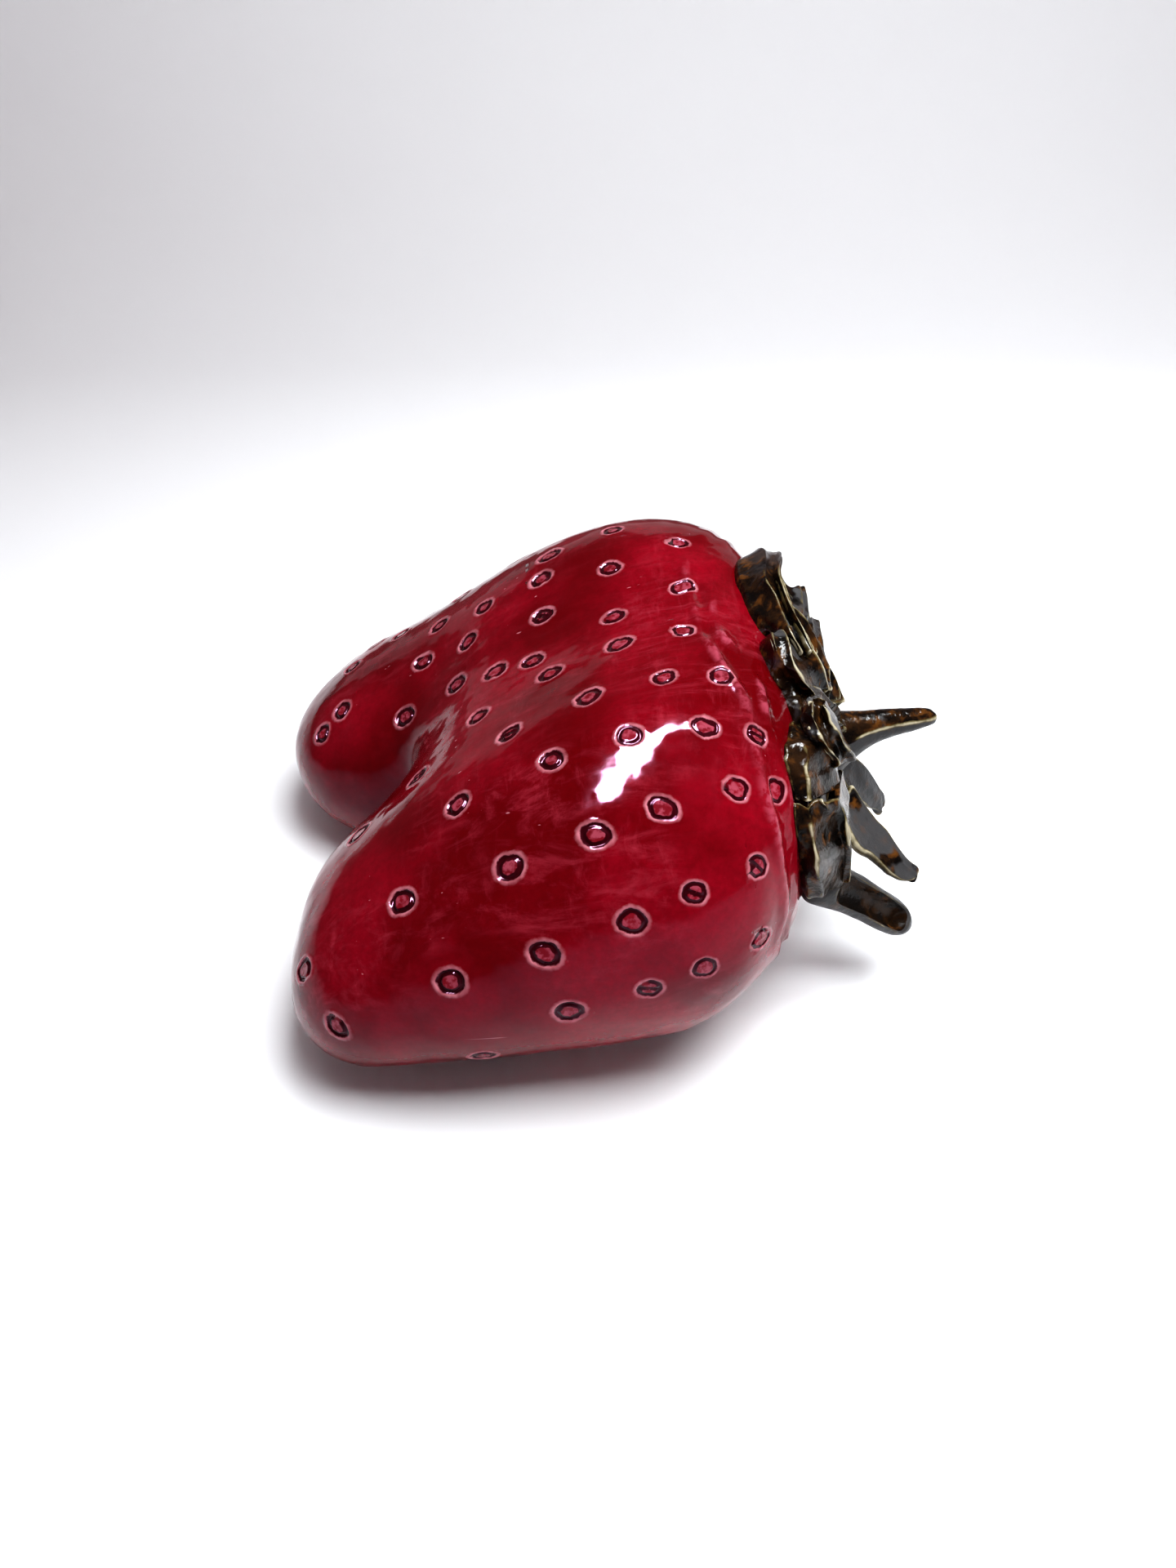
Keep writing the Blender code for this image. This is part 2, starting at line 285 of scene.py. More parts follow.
def area_lamp(name, place, heading_deg, size, power, mirrored, tilt_deg=0):
    """A lamp that faces down unless tilted: the glaze mirrors it, or else it lights matt things."""
    data = bpy.data.lights.new(name, "AREA")
    data.shape = "RECTANGLE"
    data.size = size[0]
    data.size_y = size[1]
    data.energy = power
    data.color = LAMP_COLOUR
    lamp = add_object(name, data)
    lamp.location = place
    lamp.rotation_euler = (math.radians(tilt_deg), 0, math.radians(heading_deg))
    lamp.visible_camera = False
    lamp.visible_glossy = mirrored
    lamp.visible_diffuse = not mirrored


area_lamp("strip_glint", (-0.19, 0.05, 0.90), 43, (0.62, 0.17), 62, mirrored=True)
area_lamp("soft_overhead", (0.27, -0.12, 0.80), 0, (0.55, 0.55), 13.5, mirrored=False)
area_lamp("far_sheen", (0.1, 1.5, 0.30), 0, (2.6, 0.5), 1.3, mirrored=True, tilt_deg=-90)
world = bpy.data.worlds.new("studio")
bpy.context.scene.world = world
world.use_nodes = True
room = world.node_tree.nodes["Background"]
room.inputs["Color"].default_value = ROOM_PINK
room.inputs["Strength"].default_value = ROOM_STRENGTH
bpy.context.scene.view_settings.view_transform = "Standard"
bpy.context.scene.view_settings.look = "Medium High Contrast"

# %% [markdown]
# ## The berry's skin
#
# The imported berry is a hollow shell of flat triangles. Only its outer skin is seen, so the copy
# loses its flat foot, which frees the outer skin from the inside, and then everything but the outer
# skin. The triangles are paired back into four-sided faces, because a subdivision surface runs
# smoothly along rows of those.

# %% Free the outer skin
FOOT_STEEPNESS = 0.99
FOOT_HEIGHT = 0.3

skin = merged_copy("fruit_body", "glazed_berry")
bpy.ops.object.mode_set(mode="EDIT")
select_where("faces", lambda face: face.normal.z < -FOOT_STEEPNESS
             and face.calc_center_median().z < FOOT_HEIGHT * MM)
bpy.ops.mesh.delete(type="FACE")
shape = bmesh.from_edit_mesh(skin.data)
bpy.ops.mesh.select_all(action="DESELECT")
max(shape.verts, key=lambda vertex: vertex.co.z).select_set(True)
shape.select_flush(True)
bpy.ops.mesh.select_linked()
bpy.ops.mesh.select_all(action="INVERT")
bpy.ops.mesh.delete(type="VERT")
bpy.ops.mesh.select_all(action="SELECT")
pair_triangles()
leave_edit()
subdivide(skin, 1)
print("skin faces:", len(skin.data.polygons))

# A finer copy is the smooth surface that later points are laid on.
smooth_skin = add_object("smooth_skin", skin.data.copy())
subdivide(smooth_skin, 2)
berry_tree = BVHTree.FromObject(smooth_skin, bpy.context.evaluated_depsgraph_get())
print("smooth faces:", len(smooth_skin.data.polygons))
bpy.data.objects.remove(smooth_skin, do_unlink=True)

# %% [markdown]
# ## Where the seeds go
#
# Strawberry seeds sit in lines that run from the tip to the calyx, and each line is half a step
# ahead of its neighbour. A line is given by its bearing round its lobe, at the tip end and at the
# calyx end, and by how far along the berry each of its seeds is. Bearing 0 is up, and positive is
# to the outer side. The lines that face the room are listed seed by seed; on the far side and
# underneath, a rule goes on with even steps. Random points would make clumps.

# %% Lines of seeds
LOBE_ACROSS = 55
LOBE_HEIGHT = 45
LINE_FROM = -60
LINE_TO = 60
SEED_CLEAR_OF_TABLE = 12

FRONT_LINES = [
    (7, 4, (-29, -1, 20, 42, 56)),
    (48, 16, (-45, -13, 10, 29, 49, 62)),
    (84, 35, (-30, -4, 19, 37, 55)),
    (108, 60, (2, 24, 40, 57)),
    (112, 104, (-24,)),
    (100, 100, (-65,)),
    (93, 93, (-78,)),
    (-18, -10, (-14, 10, 32, 48)),
    (-42, -26, (-64, -44, -25, -2, 20, 39)),
]
BACK_LINES = [
    (-28, -30, (-47, -30, -4, 41)),
    (-36, -36, (19,)),
    (-12, -11, (-25, -5, 42)),
    (-18, -18, (19,)),
    (-3, 4, (-43, -2, 21)),
    (-50, -38, (-34, -20, -8)),
    (-59, -50, (-54,)),
    (-55, -55, (-81,)),
    (-78, -78, (-91,)),
]
HIDDEN_FIRST = -82
HIDDEN_STEP = 23
HIDDEN_SEEDS = 7
HIDDEN_SPREAD = (1.05, 0.92)
HIDDEN_BACK = (26, 48, 70, 92, 114, 136)
HIDDEN_FRONT = (126, 148)
JITTER = 0.8
CLOSEST = 10
HIDDEN_CLOSEST = 15
TIP_FROM = -70
TIP_REACH = 26

random.seed(7)


def seed_lines():
    """Each line's lobe (-1 front, 1 back), bearings, places and least distance to other seeds."""
    for side, lines in ((-1, FRONT_LINES), (1, BACK_LINES)):
        for start, end, places in lines:
            yield side, start, end, places, CLOSEST
    for side, bearings in ((1, HIDDEN_BACK), (-1, HIDDEN_FRONT)):
        for k, bearing in enumerate(bearings):
            first = HIDDEN_FIRST + HIDDEN_STEP / 2 * (k % 2)
            places = [first + HIDDEN_STEP * step for step in range(HIDDEN_SEEDS)]
            start, end = (bearing * spread for spread in HIDDEN_SPREAD)
            yield side, start, end, places, HIDDEN_CLOSEST


def seed_place(side, bearing, along):
    """Where a line leaves the lobe: cast from its core outwards, to the skin."""
    turn = math.radians(bearing)
    heading = Vector((0, side * math.sin(turn), math.cos(turn)))
    core = Vector((along, side * LOBE_ACROSS, LOBE_HEIGHT))
    if along < TIP_FROM:
        core.x = TIP_FROM
        heading = (heading * TIP_REACH + Vector((along - TIP_FROM, 0, 0))).normalized()
    return berry_tree.ray_cast(core * MM, heading)


seeds = []
for side, start, end, places, closest in seed_lines():
    for along in places:
        share = (along - LINE_FROM) / (LINE_TO - LINE_FROM)
        bearing = start + (end - start) * share
        place, normal, _, _ = seed_place(side, bearing, along + random.uniform(-JITTER, JITTER))
        if place is None or place.z < SEED_CLEAR_OF_TABLE * MM:
            continue
        if any((place / MM - other).length < closest for other, _ in seeds):
            continue
        seeds.append((place / MM, normal))
print("seeds:", len(seeds))

# %% [markdown]
# ## A map of the calyx end
#
# The calyx sits on the rounded end of the berry, so its places are given as on a map of a pole: a
# distance from the stem's axis, and a bearing round it. The folds in the clay and the plates both
# use it.

# %% The calyx map
HEART = Vector((30, 0, 58))
STEM_SLOPE = math.radians(10)
STEM_AXIS = Vector((math.cos(STEM_SLOPE), 0, math.sin(STEM_SLOPE)))
STEM_UP = Vector((-math.sin(STEM_SLOPE), 0, math.cos(STEM_SLOPE)))
STEM_BACK = Vector((0, 1, 0))
MAP_RADIUS = 60


def on_calyx_map(places):
    """Distance from the stem's axis along the skin, and bearing round it (0 up, 90 to the back)."""
    away = places - np.array(HEART)
    away /= np.linalg.norm(away, axis=1)[:, None]
    distance = MAP_RADIUS * np.arccos(np.clip(away @ np.array(STEM_AXIS), -1, 1))
    bearing = np.arctan2(away @ np.array(STEM_BACK), away @ np.array(STEM_UP))
    return distance, bearing


print("stem axis:", [round(v, 3) for v in STEM_AXIS])

# %% [markdown]
# ## Finer clay round each seed
#
# A carved ring is three millimetres from its middle to its groove, so the mesh needs points well
# under a millimetre apart there, but not on the plain skin. The folds round the calyx get one pass
# of subdivision. Then each pass takes the faces near a seed, closer in each time, and the last one
# only those beside the groove. Subdividing all of the skin as finely would cost millions of faces.
# The new points are then laid on the smooth skin.

# %% Refine round the seeds
RING_RADIUS = 3.15
REFINE_REACH = (8.5, 6.9)
RING_BAND = 1.9
LEAST_HEIGHT = 0.02
CALYX_FOLDS_FROM = 46
CALYX_FOLDS_TO = 77

seed_finder = KDTree(len(seeds))
for index, (place, _) in enumerate(seeds):
    seed_finder.insert(place, index)
seed_finder.balance()


def refine(thing, wanted):
    """Split the faces whose middle, in millimetres, is wanted."""
    select_only(thing)
    bpy.ops.object.mode_set(mode="EDIT")
    bpy.ops.mesh.select_mode(type="FACE")
    select_where("faces", lambda face: wanted(face.calc_center_median() / MM))
    bpy.ops.mesh.subdivide(number_cuts=1, smoothness=0)
    leave_edit()


def to_nearest_seed(place):
    return seed_finder.find(place)[2]


def in_calyx_folds(place):
    distance = on_calyx_map(np.array([place]))[0][0]
    return CALYX_FOLDS_FROM < distance < CALYX_FOLDS_TO


refine(skin, in_calyx_folds)
for reach in REFINE_REACH:
    refine(skin, lambda place: to_nearest_seed(place) < reach)
refine(skin, lambda place: abs(to_nearest_seed(place) - RING_RADIUS) < RING_BAND)

places = points_of(skin)
on_skin = places[:, 2] > LEAST_HEIGHT
for index in np.nonzero(on_skin)[0]:
    places[index] = berry_tree.find_nearest(Vector(places[index]) * MM)[0] / MM
set_points(skin, places)
print("refined skin faces:", len(skin.data.polygons))

# %% [markdown]
# ## The shape of a hand-carved ring
#
# Every ring is an oval that leans its own way, a little flat where one stroke of the tool ended and
# the next began. Some strokes leave a gap, a few cross the middle, and all are finer on the calyx
# half of the berry. Bump in the glaze could draw the rings, but only real grooves show in the
# outline. What is kept for each point of the skin is how far it is outside (or, negative, inside)
# the groove's middle line. The glaze reads the same number, so its colours sit in the carving.

# %% Carve the seeds
GROOVE_HALF = 1.3
GROOVE_FLAT = 0.15
GROOVE_DEPTH = 0.95
LIP_OUT = 1.9
LIP_HALF = 1.0
LIP_RISE = 0.25
ISLAND_DROP = 0.15
ISLAND_IN = 0.9
ISLAND_OUT = 0.1
SEED_REACH = 11
FAR_FROM_SEEDS = 7
MOST_LEAN = 28
GAP_SHARE = 0.2
GAP_HALF = 0.2
GAP_BLEND = 0.4
GAP_STRENGTH = 0.15
CROSSED_SHARE = 0.12
STROKE_AT_TIP = 0.74
STROKE_LOSS = 0.24
STROKE_LOSS_OVER = (0, 45)


class Seed:
    """One carved ring: where it is, how it leans, and how its strokes went."""

    def __init__(self, place, normal):
        self.place = place
        self.normal = normal
        lean = random.uniform(-MOST_LEAN, MOST_LEAN)
        along = Vector((1, 0, 0))
        along = (along - normal * along.dot(normal)).normalized()
        across = normal.cross(along)
        turn = math.radians(lean)
        self.long = along * math.cos(turn) + across * math.sin(turn)
        self.short = normal.cross(self.long)
        stretch = random.uniform(1.04, 1.26)
        size = random.uniform(0.9, 1.08)
        self.long_half = RING_RADIUS * size * math.sqrt(stretch)
        self.short_half = RING_RADIUS * size / math.sqrt(stretch)
        self.waves = [(k, random.uniform(0.1, 0.16) / (k + 1), random.uniform(0, 2 * math.pi))
                      for k in (2, 3, 4, 7)]
        self.has_gap = random.random() < GAP_SHARE
        self.gap_at = random.uniform(0, 2 * math.pi)
        self.crossed = random.random() < CROSSED_SHARE
        self.depth = random.uniform(0.8, 1.1)
        self.fine = STROKE_AT_TIP - STROKE_LOSS * float(smooth_step(place.x, *STROKE_LOSS_OVER))

    def measure(self, place):
        """How far outside the groove's line a place is, and how strong the groove is there."""
        away = place - self.place
        u = away.dot(self.long)
        v = away.dot(self.short)
        turn = math.atan2(v, u)
        wobble = sum(size * math.cos(k * turn + start) for k, size, start in self.waves)
        ratio = math.hypot(u / self.long_half, v / self.short_half)
        outside = (ratio - 1 - wobble) * math.sqrt(self.long_half * self.short_half)
        strength = 1.0
        if self.has_gap:
            off_gap = abs((turn - self.gap_at + math.pi) % (2 * math.pi) - math.pi)
            share = min(1, max(0, off_gap - GAP_HALF) / GAP_BLEND)
            strength = GAP_STRENGTH + (1 - GAP_STRENGTH) * share
        if self.crossed and outside < 0:
            outside = max(outside, -abs(v + 0.25 * u) * 1.2)
        return outside / self.fine, strength


carved = [Seed(place, normal) for place, normal in seeds]
places = points_of(skin)
directions = normals_of(skin)
ring_distance = np.full(len(places), float(FAR_FROM_SEEDS))
ring_strength = np.ones(len(places))
seed_depth = np.ones(len(places))
for index, place in enumerate(places):
    _, nearest, distance = seed_finder.find(place)
    if distance < SEED_REACH:
        outside, strength = carved[nearest].measure(Vector(place))
        ring_distance[index] = min(outside, FAR_FROM_SEEDS)
        ring_strength[index] = strength
        seed_depth[index] = carved[nearest].depth * carved[nearest].fine

groove = 1 - smooth_step(np.abs(ring_distance), GROOVE_FLAT, GROOVE_HALF)
lip = smooth_step(1 - np.abs(ring_distance - LIP_OUT) / LIP_HALF, 0, 1)
island = 1 - smooth_step(ring_distance, -GROOVE_HALF - ISLAND_IN, -GROOVE_HALF + ISLAND_OUT)
carving = LIP_RISE * lip - GROOVE_DEPTH * groove * ring_strength - ISLAND_DROP * island
carving = carving * seed_depth
print("deepest groove, mm:", round(-carving.min(), 2))

# %% [markdown]
# ## Marks of the hand
#
# Clay smoothed by hand is never a clean oval: the skin rises and falls by less than a millimetre
# over the width of a thumb, and low on the front lobe a palm left a broad flat dent. Where the
# calyx was pressed on, the soft clay was pushed out in broken folds that run round it. Each fold is
# a ridge some millimetres beyond the calyx's edge. All of it is added to the carving and fades out
# towards the foot, so that the points move only once and the berry still sits flat.

# %% Soften the skin and push up folds round the calyx
CALYX_EDGE = 61
NEAR_CALYX = (78, 56)
CALMER_BEARING = 0.75
CALMER_HALF = 0.6
CALMER_BY = 0.6
BROAD_RISE = 0.55
THUMB_RISE = 0.22
LUMP_RISE = 0.5
FOOT_BLEND = (1.0, 16.0)
PALM_PLACE = (66, -78, 22)
PALM_REACH = (34, 40, 30)
PALM_DEPTH = 5.0
FOLDS = [(3.5, 1.6, 1.9, 8.2), (6.6, 1.5, -1.3, 5.3), (9.5, 2.1, 1.6, 3.1)]

distance, bearing = on_calyx_map(places)
broad = waviness(places, 34, 1.3)
thumb = waviness(places, 17, 4.1)
near_calyx = smooth_step(distance, *NEAR_CALYX)
beyond_edge = distance - CALYX_EDGE - 3.0 * waviness(places, 30, 8.2)
folds = np.zeros(len(places))
for off, half, rise, seed in FOLDS:
    swing = off + 2.0 * waviness(places, 18, seed)
    broken = smooth_step(waviness(places, 16, seed + 3), -0.5, 0.4)
    folds += rise * broken * np.exp(-((beyond_edge - swing) / half) ** 2)
folds *= 1 - CALMER_BY * np.exp(-((bearing - CALMER_BEARING) / CALMER_HALF) ** 2)
lump = waviness(places, 9, 2.7)
above_foot = smooth_step(places[:, 2], *FOOT_BLEND)
hand = BROAD_RISE * broad + THUMB_RISE * thumb + folds + near_calyx * LUMP_RISE * lump
palm = np.linalg.norm((places - PALM_PLACE) / PALM_REACH, axis=1)
hand -= PALM_DEPTH * (1 - smooth_step(palm, 0, 1))
moved = places + directions * ((carving + hand * above_foot)[:, None])
moved[:, 2] = np.where(on_skin, np.maximum(moved[:, 2], LEAST_HEIGHT), moved[:, 2])
set_points(skin, moved)
store(skin, "ring_distance", ring_distance)
store(skin, "ring_strength", ring_strength)
store(skin, "fold_crest", np.clip(folds, 0, 2))
print("skin box, mm:", moved.min(axis=0).round(1), moved.max(axis=0).round(1))

# %% [markdown]
# ## The foot
#
# The potter let the berry settle on its underside, wiped the glaze off there so that it couldn't
# stick to the kiln shelf, and made one small hole to let the air out. The skin's open edge is
# lifted a little, turned inwards as a soft rim and filled. The hole is a real one. The smooth
# shading stops at sharp edges, and the filled foot is shaded flat.

# %% Turn in the rim and fill the foot
RIM_LIFT = 0.7
RIM_WIDTH = 1.4
VENT_RADIUS = 4
VENT_X = 34
VENT_DEPTH = 9
SMOOTH_UNDER = math.radians(50)
FLAT_FOOT = 0.999

select_only(skin)
bpy.ops.object.mode_set(mode="EDIT")
bpy.ops.mesh.select_mode(type="EDGE")
select_where("edges", lambda edge: edge.is_boundary)
bpy.ops.mesh.edge_face_add()
bpy.ops.mesh.select_mode(type="FACE")
bpy.ops.mesh.inset(thickness=RIM_WIDTH * MM, depth=0)
shape = bmesh.from_edit_mesh(skin.data)
foot = next(face for face in shape.faces if face.select)
for vertex in foot.verts:
    vertex.co.z = 0
foot_points = set(foot.verts)
for face in shape.faces:
    if face is not foot and foot_points & set(face.verts):
        for vertex in face.verts:
            if vertex not in foot_points:
                vertex.co.z = RIM_LIFT * MM
        face.material_index = 1
foot.material_index = 1
bmesh.update_edit_mesh(skin.data)
bpy.ops.mesh.normals_make_consistent(inside=False)
leave_edit()
print("foot corners:", len(foot_points))

bpy.ops.mesh.primitive_cylinder_add(vertices=32, radius=VENT_RADIUS * MM,
                                    depth=2 * VENT_DEPTH * MM, location=(VENT_X * MM, 0, 0))
vent_tool = bpy.context.object
vent_tool.name = "vent_tool"
bore = skin.modifiers.new("Vent", "BOOLEAN")
bore.operation = "DIFFERENCE"
bore.solver = "EXACT"
bore.object = vent_tool
apply_modifiers(skin)
bpy.data.objects.remove(vent_tool, do_unlink=True)
select_only(skin)
bpy.ops.object.shade_smooth_by_angle(angle=SMOOTH_UNDER)
for face in skin.data.polygons:
    if face.material_index == 1 and face.normal.z < -FLAT_FOOT:
        face.use_smooth = False
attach(skin, "root")
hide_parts("fruit_body")
print("berry triangles:", sum(len(face.vertices) - 2 for face in skin.data.polygons))

# %% [markdown]
# ## The calyx plates
#
# Each sepal was torn from a thick slab, pressed on the berry and pinched along a few lines, which
# stand up as thin crests with dark faces between them. Sculpting could do it, but a plate drawn by
# its crest lines can be changed line by line: each is a few places on the calyx map, from root to
# tip, with a height over the berry. A grid is stretched over the lines and sags a little between
# them. Its far end is rounded, the sides and end of a block turn down towards the berry, and the
# sheet then gets the slab's thickness. Neighbouring plates overlap and read as one ruffled collar.

# %% Draw a plate over its crest lines
GAP_COLUMNS = 6
PLATE_ROWS = 34
BLOCK_DROP = 6
BLOCK_SHELL = 1.6
ROUND_FROM = 0.86
CAST_FROM = 200
SMALLEST_SPAN = 0.6
LEAST_NARROW = 0.03
OWN_SHARE = 0.6
PLATE_LUMPS = 0.42


def over_berry(up, back, height):
    """The point at this place on the calyx map, height millimetres over the smooth berry."""
    distance = math.hypot(up, back)
    swing = distance / MAP_RADIUS
    outward = STEM_AXIS * math.cos(swing)
    if distance:
        outward += (STEM_UP * up + STEM_BACK * back) / distance * math.sin(swing)
    start = (HEART + outward * CAST_FROM) * MM
    return berry_tree.ray_cast(start, -outward)[0] / MM + outward * height


def flat_places(line):
    """A line's (distance, bearing, height) places as (up, back, height) vectors."""
    flat = []
    for distance, bearing_deg, height in line:
        turn = math.radians(bearing_deg)
        flat.append(Vector((distance * math.cos(turn), distance * math.sin(turn), height)))
    return flat


def along_curve(points, share):
    """A smooth curve through the points (Catmull-Rom)."""
    run = share * (len(points) - 1)
    k = min(int(run), len(points) - 2)
    t = run - k
    before = points[k - 1] if k else points[0] * 2 - points[1]
    after = points[k + 2] if k + 2 < len(points) else points[-1] * 2 - points[-2]
    start, end = points[k], points[k + 1]
    bend = (start - end) * 3 + after - before
    turn = before * 2 - start * 5 + end * 4 - after + bend * t
    return start + ((end - before) + turn * t) * (t / 2)


def store_crests(thing, seam):
    """Keep how sharply the surface bulges out at each point, for glaze that runs thin there."""
    mesh = thing.data
    places = points_of(thing)
    directions = normals_of(thing)
    ends = np.empty(len(mesh.edges) * 2, dtype=np.int64)
    mesh.edges.foreach_get("vertices", ends)
    first, second = ends.reshape(-1, 2).T
    count = np.bincount(ends, minlength=len(places))[:, None]
    spans = np.linalg.norm(places[first] - places[second], axis=1)
    around = np.zeros_like(places)
    length = np.zeros(len(places))
    spread = np.zeros(len(places))
    for here, there in ((first, second), (second, first)):
        np.add.at(around, here, places[there])
        np.add.at(length, here, spans)
    length = np.maximum(length / count[:, 0], SMALLEST_SPAN)
    bulge = 2 * ((places - around / count) * directions).sum(axis=1) / length ** 2
    for here, there in ((first, second), (second, first)):
        np.add.at(spread, here, bulge[there])
    bulge = OWN_SHARE * bulge + (1 - OWN_SHARE) * spread / count[:, 0] + seam
    store(thing, "crest", bulge)
    return bulge


def finish_piece(thing, node, lumps, seed, painted_sheen=0.0, seam=0.0):
    """Lumps of the hand, numbers for the glaze, smooth shading, and the bookkeeping."""
    places = points_of(thing)
    coarse = waviness(places, 7, seed) * lumps
    fine = waviness(places, 2.6, seed + 5) * lumps * 0.4
    set_points(thing, places + normals_of(thing) * (coarse + fine)[:, None])
    bulge = store_crests(thing, seam)
    # How much grey is painted in as a reflection on this piece, for the glaze to read.
    store(thing, "painted_sheen", np.zeros(len(places)) + painted_sheen)
    select_only(thing)
    bpy.ops.object.shade_smooth()
    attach(thing, "root")
    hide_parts(node)
    return bulge


def make_plate(node, lines, round_from=ROUND_FROM, thickness=BLOCK_SHELL, hollow=0.7,
               drop=BLOCK_DROP, rough=1.0, painted_sheen=0.0):
    """A torn and pinched slab over its crest lines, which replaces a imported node.

    A block's sides and far end drop towards the berry; a slab that stands free has drop=0.
    """
    lines = [flat_places(line) for line in lines]
    if drop:
        down = Vector((0, 0, drop))
        near, far = ([place - down for place in lines[k]] for k in (0, -1))
        lines = [near] + lines + [far]
    gaps = len(lines) - 1
    seed = sum(ord(letter) for letter in node) % 97
    bpy.ops.mesh.primitive_grid_add(x_subdivisions=GAP_COLUMNS * gaps,
                                    y_subdivisions=PLATE_ROWS, size=2)
    plate = bpy.context.object
    plate.name = "clay_" + node
    rows = {}
    places = []
    for x, y, _ in points_of(plate) * MM:
        share = (y + 1) / 2
        row = round(share * PLATE_ROWS)
        if row not in rows:
            spots = [along_curve(line, share) for line in lines]
            middle = sum(spots, Vector()) / len(spots)
            off = max(0.0, (share - round_from) / (1 - round_from))
            narrow = math.sqrt(max(LEAST_NARROW, 1 - off ** 3))
            sink = Vector((0, 0, drop * off ** 3))
            rows[row] = [middle + (spot - middle) * narrow - sink for spot in spots]
        across = (x + 1) / 2 * gaps
        k = min(int(across + 0.001), gaps - 1)
        between = across - k
        place = rows[row][k].lerp(rows[row][k + 1], between)
        place.z -= hollow * 4 * between * (1 - between)
        place.x += noise.noise(Vector((share * 6.3, across * 1.1, seed + 7))) * rough
        place.y += noise.noise(Vector((share * 5.1, across * 1.3, seed + 31))) * rough
        place.z += noise.noise(Vector((share * 4.4, across * 0.9, seed + 53))) * rough * 1.1
        places.append(over_berry(*place))
    set_points(plate, np.array(places))
    outward = sum((face.normal.dot(face.center / MM - HEART) for face in plate.data.polygons), 0.0)
    if outward < 0:
        edit_all(plate)
        bpy.ops.mesh.flip_normals()
        leave_edit()
    thicken = plate.modifiers.new("Slab", "SOLIDIFY")
    thicken.thickness = thickness * MM
    thicken.offset = -1
    subdivide(plate, 1)
    bulge = finish_piece(plate, node, PLATE_LUMPS * rough, seed, painted_sheen)
    sharpest = np.percentile(bulge, 97).round(3)
    print(node, "faces", len(plate.data.polygons), "sharpest crests, 1/mm", sharpest)


# %% [markdown]
# ## The fan round the stem
#
# Most sepals are alike: they fan from the stem, with a crest along either side and a hollow
# between. One function draws their lines, and each sepal gives only its bearings, its reach and its
# height. Bearings near 180 are underneath.

# %% Plates that fan from the stem


def torn_fan(bearings, reach, height):
    """Five lines of a sepal that fans from the stem: edge, crest, hollow, crest, edge."""
    start, end = bearings
    profile = (0.15, 1.0, 0.62, 0.95, 0.15)
    lines = []
    for k, rise in enumerate(profile):
        bearing = start + (end - start) * k / 4
        lift = height * rise
        stations = ((11, 9 + lift), (24, 7 + lift), (37, 4 + lift), (reach - 6, 1.5 + lift),
                    (reach, 1 + lift * 0.8))
        lines.append([(distance, bearing, high) for distance, high in stations])
    return lines


FANS = {
    "sepal_top_back": ((2, 44), 50, 7),
    "sepal_back_upper": ((38, 82), 58, 8),
    "sepal_back_lower": ((78, 130), 55, 8),
    "sepal_under_back": ((124, 176), 49, 7),
    "sepal_under_front": ((-178, -128), 48, 7),
    "sepal_top_front": ((-50, -30), 55, 6),
    "sepal_second_back": ((56, 112), 46, 11),
}
for node, (bearings, reach, height) in FANS.items():
    make_plate(node, torn_fan(bearings, reach, height))

# %% [markdown]
# ## The blocks along the edge, and the slabs that splay
#
# Along the edge that is seen, each sepal was pinched its own way and stands like a small block on
# the berry, so its lines are given place by place: the first is the outline low on the berry, and
# the next ones are crests and the hollows between them. Two thicker slabs stand free and splay out
# past the stem. A plate given less painted sheen stays dark and glossy, and one given more gets a
# slate grey painted in as a reflection.

# %% The blocks along the edge and the slabs that splay
SLAB_THICKNESS = 3.2

make_plate("sepal_top_edge", [
    [(51, -10, 2), (53, -4, 2), (55, 6, 2), (58, 19, 2), (62, 33, 3)],
    [(47, -24, 9), (50, -18, 10), (51, -3, 10), (54, 12, 10.5), (59, 43, 12)],
    [(41, -18, 7), (46, -9, 7), (48, 4, 8), (51, 19, 9.5), (56, 49, 14)],
    [(45, -23, 12), (47, -12, 12), (49, 1, 12), (51, 16, 13.5), (53, 45, 16)],
    [(38, -20, 6), (40, -8, 5), (42, 6, 5), (45, 21, 5), (48, 42, 7)]],
    round_from=0.8, rough=0.5, painted_sheen=-0.3)
make_plate("sepal_second_top", [
    [(32, 0, 7), (36, 19, 7), (41, 29, 7), (45, 36, 8), (46, 42, 9)],
    [(31, 0, 9), (35, 20, 9), (38, 31, 11), (41, 37, 13), (44, 43, 14)],
    [(29, 4, 11), (32, 24, 12), (36, 35, 13), (40, 40, 15), (43, 45, 16)],
    [(25, 8, 6), (28, 28, 7), (32, 40, 8), (36, 45, 9), (40, 50, 10)]],
    round_from=0.8, rough=0.6)
make_plate("sepal_third_top", [
    [(34, -10, 6), (33, 6, 7), (34, 17, 8), (35, 24, 11), (36, 31, 13)],
    [(27, -16, 9), (28, 4, 10), (30, 17, 11), (33, 26, 12), (35, 34, 14)],
    [(21, -15, 13), (21, 10, 14), (24, 25, 14), (30, 34, 15), (34, 40, 16)],
    [(14, -10, 10), (15, 16, 10), (18, 30, 10), (24, 42, 10), (30, 47, 11)]])
make_plate("sepal_second_middle", [
    [(52, -39, 1), (55, -36, 1), (56, -30, 1), (56, -25, 2), (56, -19, 4)],
    [(50, -40, 5), (54, -35, 6), (56, -30, 7), (57, -25, 8), (56, -18, 9)],
    [(48, -40, 9), (54, -38, 10), (55, -33, 10), (55, -27, 11), (54, -16, 11)],
    [(40, -34, 7), (45, -30, 7), (47, -24, 7), (49, -19, 7), (51, -13, 7)],
    [(32, -30, 12), (38, -24, 12), (41, -16, 11), (44, -10, 10), (48, -8, 8)]],
    rough=0.6, hollow=1.3, painted_sheen=-0.04)
